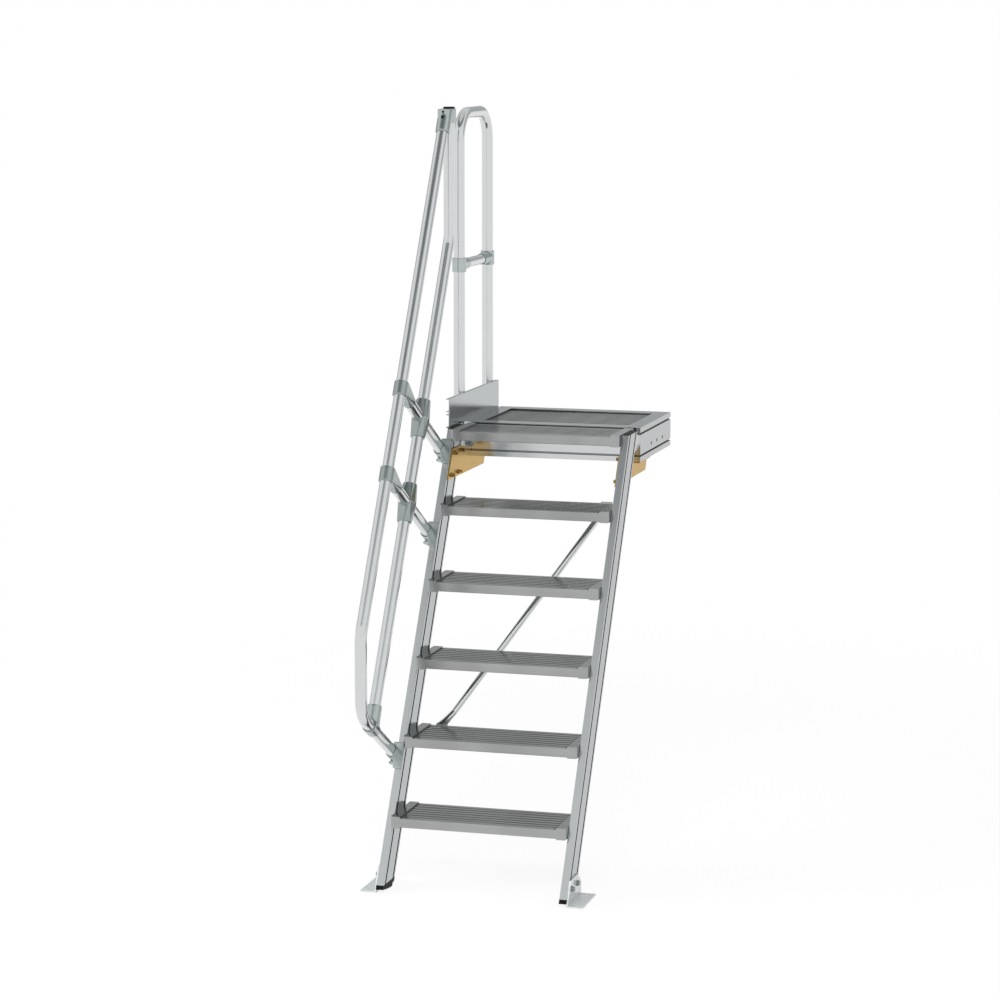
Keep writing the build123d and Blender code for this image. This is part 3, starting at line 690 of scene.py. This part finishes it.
# %% Pinch bolts
BOSS_RADIUS = 0.0075
BOSS_BEVEL = BOSS_RADIUS / 5
BOSS_INNER, BOSS_OUTER = 0.045, 0.010
BOSS_AHEAD, BOSS_RISE = 0.0833, 0.006
SMOOTH_ANGLE = 35

boss_length = BOSS_INNER - BOSS_OUTER
boss_middle = Vector(((BOSS_INNER + BOSS_OUTER) / 2, BOSS_AHEAD, BOSS_RISE))
for bracket in ("lower", "middle", "upper"):
    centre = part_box(f"{bracket}_stile_bracket")[0] + boss_middle
    bpy.ops.object.select_all(action="DESELECT")
    bpy.ops.mesh.primitive_cylinder_add(
        vertices=ROUND_SIDES,
        radius=BOSS_RADIUS,
        depth=boss_length,
        location=centre,
        rotation=(0, radians(-90), 0),
    )
    boss = bpy.context.object
    faces_towards(boss.data, UP)
    bpy.ops.mesh.bevel(offset=BOSS_BEVEL, segments=BEVEL_STEPS, affect="EDGES")
    bpy.ops.object.mode_set(mode="OBJECT")
    bpy.ops.object.transform_apply(location=True, rotation=True, scale=True)
    bpy.ops.object.shade_smooth_by_angle(angle=radians(SMOOTH_ANGLE))
    finish_piece(boss, f"{bracket}_pinch_boss", cast_finish)
    head_spot = centre - Vector((boss_length / 2, 0, 0))
    set_bolts(
        f"{bracket}_pinch_bolt", small_bolt, [head_spot], LEFT, shaded_steel_finish
    )

for pattern in (plate_bolt, angle_bolt, small_bolt):
    bpy.data.objects.remove(pattern)

# %% [markdown]
# ## Floor and light
# The stair stands on a plain white floor in a pale room. Lamps could make the floor white by sheer
# strength, but they would burn out the metal, so the floor adds white of its own where the camera or a
# reflection looks at it, and keeps the stair's shadow. The world is white at the horizon and greyer
# above, which gives the metal something to reflect.

# %% Floor
FLOOR_SIZE = 120
FLOOR_GAP = 0.0005

floor_z = cad_box[0][2]
bpy.ops.object.select_all(action="DESELECT")
bpy.ops.mesh.primitive_plane_add(size=FLOOR_SIZE, location=(0, 0, floor_z - FLOOR_GAP))
floor = bpy.context.object
floor.name = "studio_floor"
print("floor below the stair at", floor_z)

# %% Floor finish
FLOOR_GREY = (0.86, 0.86, 0.86, 1)
NEAR_WHITE, FAR_WHITE = 0.88, 1.0
FADE_START, FADE_END = 1.6, 3.6

floor_finish = bpy.data.materials.new("studio_floor")
floor_finish.use_nodes = True
floor_tree = floor_finish.node_tree
floor_tree.nodes.clear()
ray = floor_tree.nodes.new("ShaderNodeLightPath")
seen = Wire(ray.outputs["Is Camera Ray"]) + Wire(ray.outputs["Is Glossy Ray"])
seen = seen + Wire(ray.outputs["Is Transmission Ray"])
floor_place = seen.node("ShaderNodeTexCoord", output="Object")
away = floor_place.node("ShaderNodeVectorMath", {"operation": "LENGTH"}, {0: floor_place}, "Value")
whiteness = ramp(away, FADE_START, FADE_END, NEAR_WHITE, FAR_WHITE)
matt = seen.node("ShaderNodeBsdfDiffuse", {}, {"Color": FLOOR_GREY})
white = seen.node("ShaderNodeEmission", {}, {"Color": WHITE, "Strength": 1.0})
floor_mix = seen.node("ShaderNodeMixShader", {}, {0: whiteness * seen, 1: matt, 2: white})
floor_out = floor_tree.nodes.new("ShaderNodeOutputMaterial")
floor_tree.links.new(floor_mix.socket, floor_out.inputs["Surface"])
floor.data.materials.append(floor_finish)
print("nodes in the floor finish:", len(floor_tree.nodes))

# %% Room light
FRONT_PALE = (0.97, 0.98, 0.98, 1)
BACK_GREY = (0.47, 0.485, 0.485, 1)
CEILING_DARK = (0.2, 0.21, 0.21, 1)
SKYLIGHT = (0.8, 0.8, 0.8, 1)
HORIZON = (0.03, 0.12)
BACK_SPREAD = (0.0, 0.5)
CEILING_EDGE = (0.70, 0.78)
FRONT_SKYLIGHT_EDGE = (0.88, 0.97)
BACK_SKYLIGHT_EDGE = (0.3, 0.55)

world = bpy.data.worlds.new("pale_room")
bpy.context.scene.world = world
world.use_nodes = True
background = world.node_tree.nodes["Background"]
way = Wire(world.node_tree.nodes.new("ShaderNodeTexCoord").outputs["Generated"])
height = way.node("ShaderNodeSeparateXYZ", {}, {0: way}, "Z")
behind = ramp(way.node("ShaderNodeSeparateXYZ", {}, {0: way}, "Y"), *BACK_SPREAD)
front_wall = blend(ramp(height, *CEILING_EDGE), FRONT_PALE, CEILING_DARK)
front_wall = blend(ramp(height, *FRONT_SKYLIGHT_EDGE), front_wall, SKYLIGHT)
back_wall = blend(ramp(height, *BACK_SKYLIGHT_EDGE), BACK_GREY, SKYLIGHT)
room = blend(behind, front_wall, back_wall)
sky = blend(ramp(height, *HORIZON), WHITE, room)
world.node_tree.links.new(sky.socket, background.inputs["Color"])
background.inputs["Strength"].default_value = 1.0
print("nodes in the room:", len(world.node_tree.nodes))

# %% Soft boxes
STAIR_MIDDLE = (0, -0.8, -0.2)
SOFT_BOX_SIZE = 4.0


def soft_box(name, place, power):
    """Square area lamp that looks at the middle of the stair and isn't seen itself."""
    bpy.ops.object.select_all(action="DESELECT")
    bpy.ops.object.light_add(type="AREA", location=place)
    lamp = bpy.context.object
    lamp.name = name
    lamp.data.size = SOFT_BOX_SIZE
    lamp.data.energy = power
    aim = Vector(STAIR_MIDDLE) - Vector(place)
    lamp.rotation_mode = "QUATERNION"
    lamp.rotation_quaternion = aim.to_track_quat("-Z", "Y")
    lamp.visible_camera = False
    lamp.visible_glossy = False


soft_box("front_soft_box", place=(1.0, -7.0, 4.6), power=380)
soft_box("left_soft_box", place=(-6.0, -2.5, 3.0), power=260)
print("lamps:", len(bpy.data.lights))

# %% [markdown]
# ## View and size
# The Standard view shows each colour about as it is written. The box of the bare solids is kept,
# because finishes and fasteners mustn't change the stair's size.

# %% View and finish
bpy.context.scene.view_settings.view_transform = "Standard"
